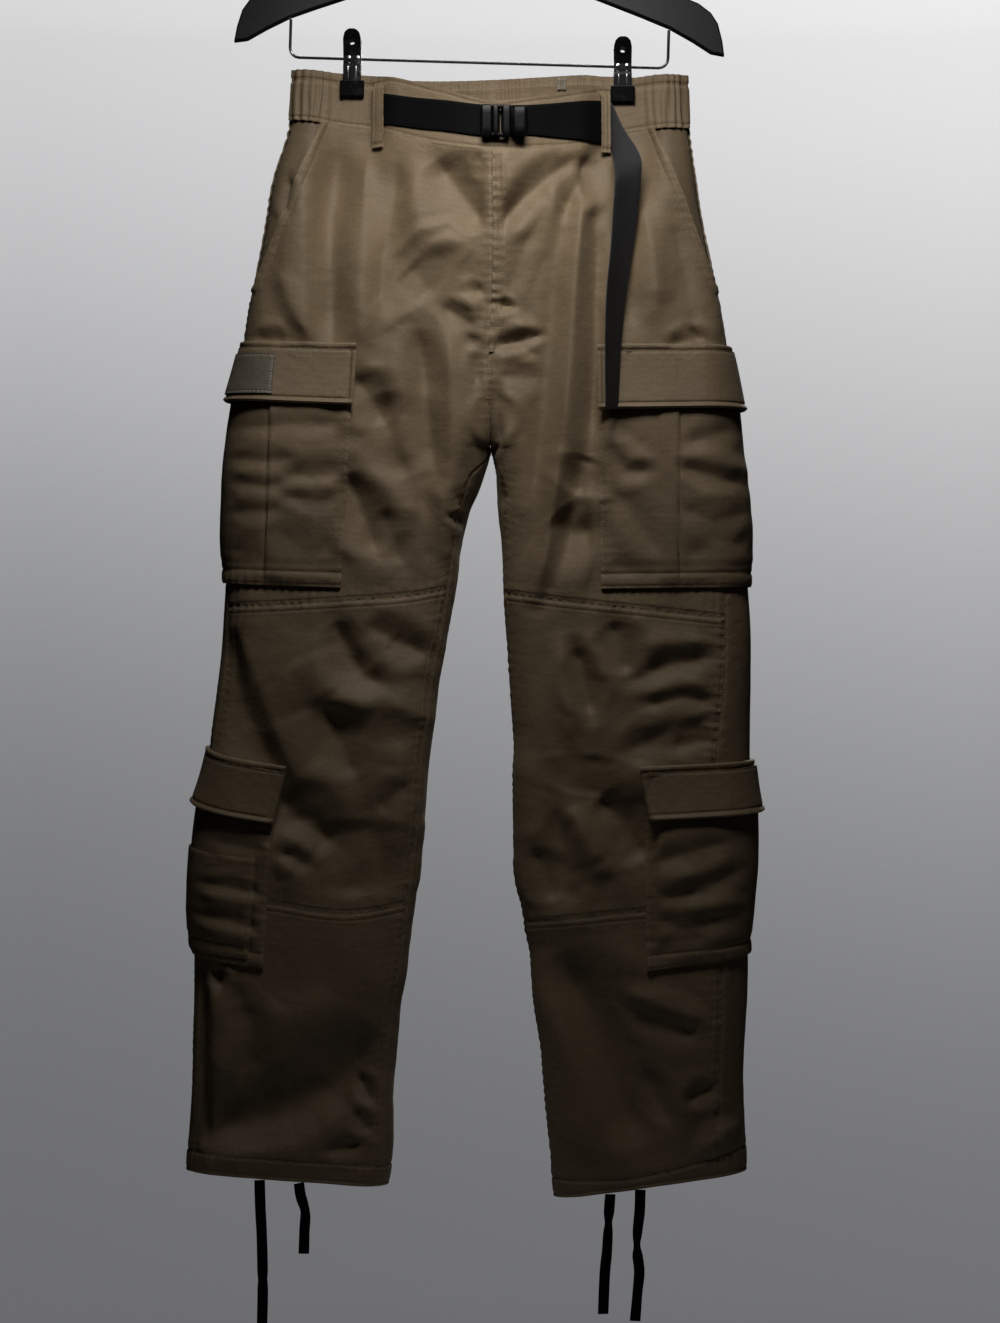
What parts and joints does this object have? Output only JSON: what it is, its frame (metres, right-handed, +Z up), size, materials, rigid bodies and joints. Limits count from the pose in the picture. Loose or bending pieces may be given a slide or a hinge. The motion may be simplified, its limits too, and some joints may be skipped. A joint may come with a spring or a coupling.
{
  "type": "cargo pants on a clip hanger",
  "caption": "Loose cargo pants with flap pockets on thigh and calf, a gathered waistband, a webbing belt and hem drawcords, held by two clips on a hanger.",
  "frame": {"origin": "inner top of the hanger's hook, where it rests on a rail", "axes": "+Z up, the front of the pants faces -Y, +X to the viewer's right when seen from the front"},
  "size_m": [0.5486, 0.1248, 1.4171],
  "materials": {
    "cloth": "olive brown ripstop cotton, matt",
    "webbing": "black woven webbing and tape",
    "plastic": "black moulded plastic, satin",
    "metal": "black gloss clip plates",
    "wire": "polished steel wire",
    "label": "plain woven label, bare"
  },
  "bodies": {
    "root": {"front_left": "cloth", "front_right": "cloth", "back_left": "cloth", "back_right": "cloth", "back_thigh_left": "cloth", "back_thigh_right": "cloth", "back_calf_left": "cloth", "back_calf_right": "cloth", "hip_facing_left": "cloth", "hip_facing_right": "cloth", "knee_left": "cloth", "knee_right": "cloth", "shin_left": "cloth", "shin_right": "cloth", "hem_band_left": "cloth", "hem_band_right": "cloth", "waistband_front_left": "cloth", "waistband_front_right": "cloth", "waistband_side_left": "cloth", "waistband_side_right": "cloth", "waistband_back_left": "cloth", "waistband_back_right": "cloth", "belt_loop_left": "cloth", "belt_loop_right": "cloth", "fly_placket": "cloth", "thigh_pocket_left": "cloth", "thigh_pocket_right": "cloth", "thigh_flap_left": "cloth", "thigh_flap_right": "cloth", "thigh_welt_left": "cloth", "thigh_welt_right": "cloth", "calf_pocket_left": "cloth", "calf_pocket_right": "cloth", "calf_flap_left": "cloth", "calf_flap_right": "cloth", "calf_welt_left": "cloth", "calf_welt_right": "cloth", "calf_patch_left": "cloth", "flap_label": "label", "waist_label": "label", "belt_left": "webbing", "belt_right": "webbing", "belt_tail": "webbing", "buckle_frame": "plastic", "buckle_cap": "plastic", "drawcord_1": "webbing", "drawcord_2": "webbing", "drawcord_3": "webbing", "drawcord_4": "webbing", "hanger_shoulders": "plastic", "hanger_hook": "wire", "hanger_bar": "wire", "clip_left_front_jaw": "metal", "clip_left_back_jaw": "metal", "clip_left_front_pad": "plastic", "clip_left_back_pad": "plastic", "clip_right_front_jaw": "metal", "clip_right_back_jaw": "metal", "clip_right_front_pad": "plastic", "clip_right_back_pad": "plastic"}
  },
  "joints": []
}
